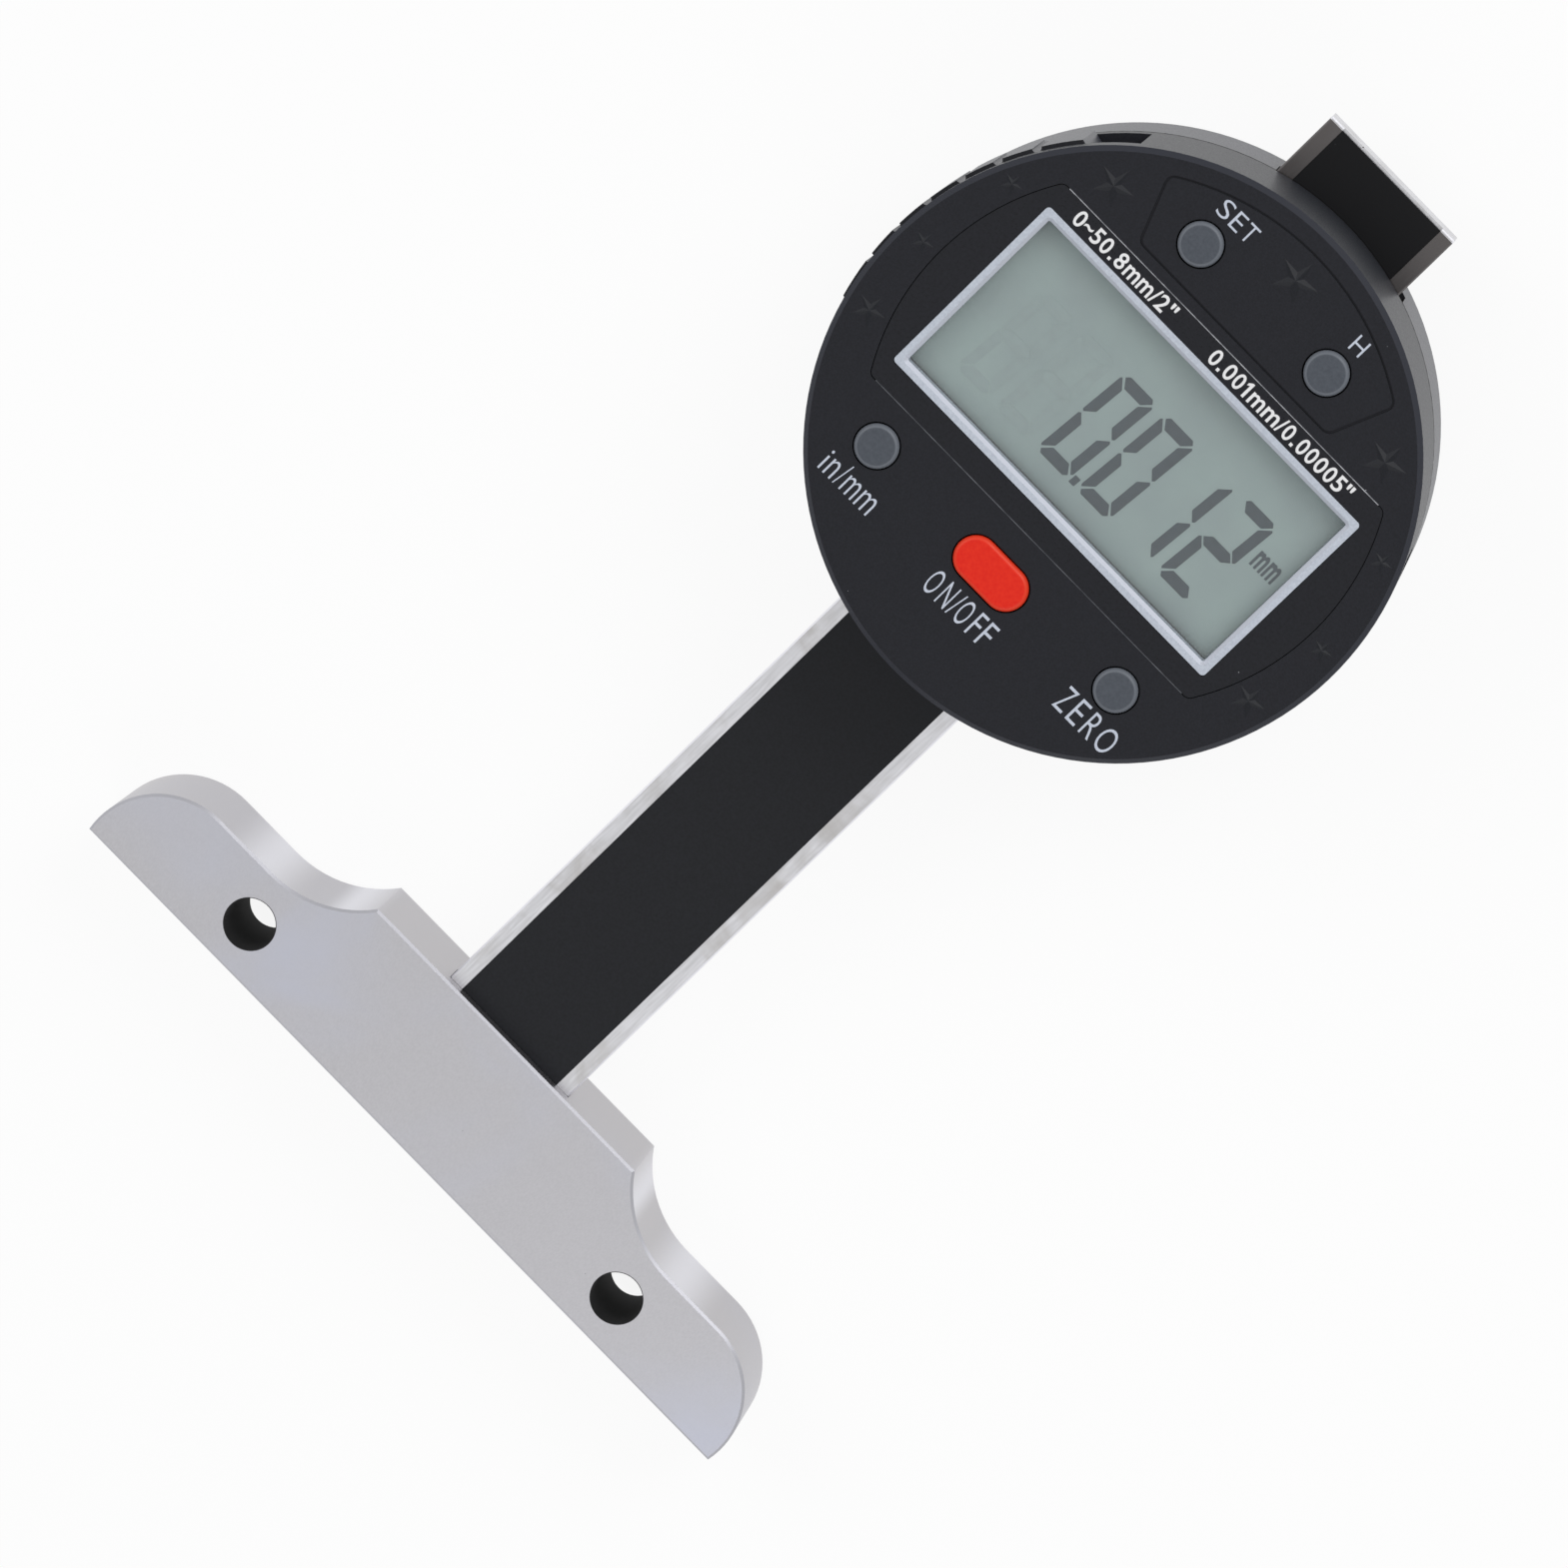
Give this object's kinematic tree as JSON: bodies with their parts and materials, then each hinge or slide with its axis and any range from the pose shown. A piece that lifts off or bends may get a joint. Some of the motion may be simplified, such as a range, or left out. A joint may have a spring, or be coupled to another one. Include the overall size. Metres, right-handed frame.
{
  "type": "digital depth gauge",
  "caption": "Digital depth gauge: flat steel measuring base on a steel beam, with a round black display head that slides along the beam and carries the depth rod.",
  "frame": {"origin": "centre of the measuring face of the base", "axes": "+Y up the beam from the measuring face to the head, +Z out of the display, X along the base; the gauge lies on its back"},
  "size_m": [0.0848, 0.1324, 0.0246],
  "materials": {
    "ground_steel": "satin, finely ground",
    "stainless_steel": "satin, lightly stained",
    "scale_film": "matte black film",
    "screw_steel": "bright zinc plating",
    "bronze": "machined",
    "rod_steel": "ground and polished",
    "black_plastic": "matte, finely textured moulding",
    "window_black": "satin printed window",
    "silver_trim": "satin silver",
    "clear_pane": "clear",
    "display_glass": "reflective grey-green display glass",
    "grey_rubber": "soft grey silicone",
    "board_green": "solder-resist green",
    "plug_plastic": "moulded",
    "contact_metal": "nickel plated",
    "cell_steel": "stainless can",
    "grey_key": "satin grey",
    "red_key": "satin red"
  },
  "bodies": {
    "base_and_beam": {"base": "ground_steel", "beam": "stainless_steel", "scale_strip": "scale_film", "base_screws": "screw_steel", "stop_screw": "screw_steel", "rod_bush": "bronze"},
    "head": {"front_housing": "black_plastic", "rear_housing": "black_plastic", "housing_screws": "screw_steel", "gib_strip": "bronze", "gib_screws": "screw_steel", "window_lens": "window_black", "display_frame": "silver_trim", "display_pane": "clear_pane", "lcd_panel": "display_glass", "zebra_strip": "grey_rubber", "circuit_board": "board_green", "keypad_sheet": "grey_rubber", "sensor_board": "board_green", "board_plug": "plug_plastic", "depth_rod": "rod_steel", "rod_carrier": "bronze", "carrier_screws": "screw_steel", "contact_over": "contact_metal", "contact_rim": "contact_metal", "port_cover": "black_plastic"},
    "battery_tray": {"battery_drawer": "black_plastic", "coin_cell": "cell_steel"},
    "set_key": {"set_key": "grey_key"},
    "hold_key": {"hold_key": "grey_key"},
    "unit_key": {"unit_key": "grey_key"},
    "zero_key": {"zero_key": "grey_key"},
    "power_key": {"power_key": "red_key"}
  },
  "joints": [
    {"name": "head_slide", "type": "slide", "parent": "base_and_beam", "child": "head", "axis": [0, -1, 0], "range_m": [0, 0.0508]},
    {"name": "drawer_slide", "type": "slide", "parent": "head", "child": "battery_tray", "axis": [-0.9799, 0.1994, 0], "range_m": [0, 0.024]},
    {"name": "set_press", "type": "slide", "parent": "head", "child": "set_key", "axis": [0, 0, -1], "range_m": [0, 0.0005], "stiffness_N_per_m": 200, "springref_m": -0.001},
    {"name": "hold_press", "type": "slide", "parent": "head", "child": "hold_key", "axis": [0, 0, -1], "range_m": [0, 0.0005], "stiffness_N_per_m": 200, "springref_m": -0.001},
    {"name": "unit_press", "type": "slide", "parent": "head", "child": "unit_key", "axis": [0, 0, -1], "range_m": [0, 0.0005], "stiffness_N_per_m": 200, "springref_m": -0.001},
    {"name": "zero_press", "type": "slide", "parent": "head", "child": "zero_key", "axis": [0, 0, -1], "range_m": [0, 0.0005], "stiffness_N_per_m": 200, "springref_m": -0.001},
    {"name": "power_press", "type": "slide", "parent": "head", "child": "power_key", "axis": [0, 0, -1], "range_m": [0, 0.0005], "stiffness_N_per_m": 200, "springref_m": -0.001}
  ]
}
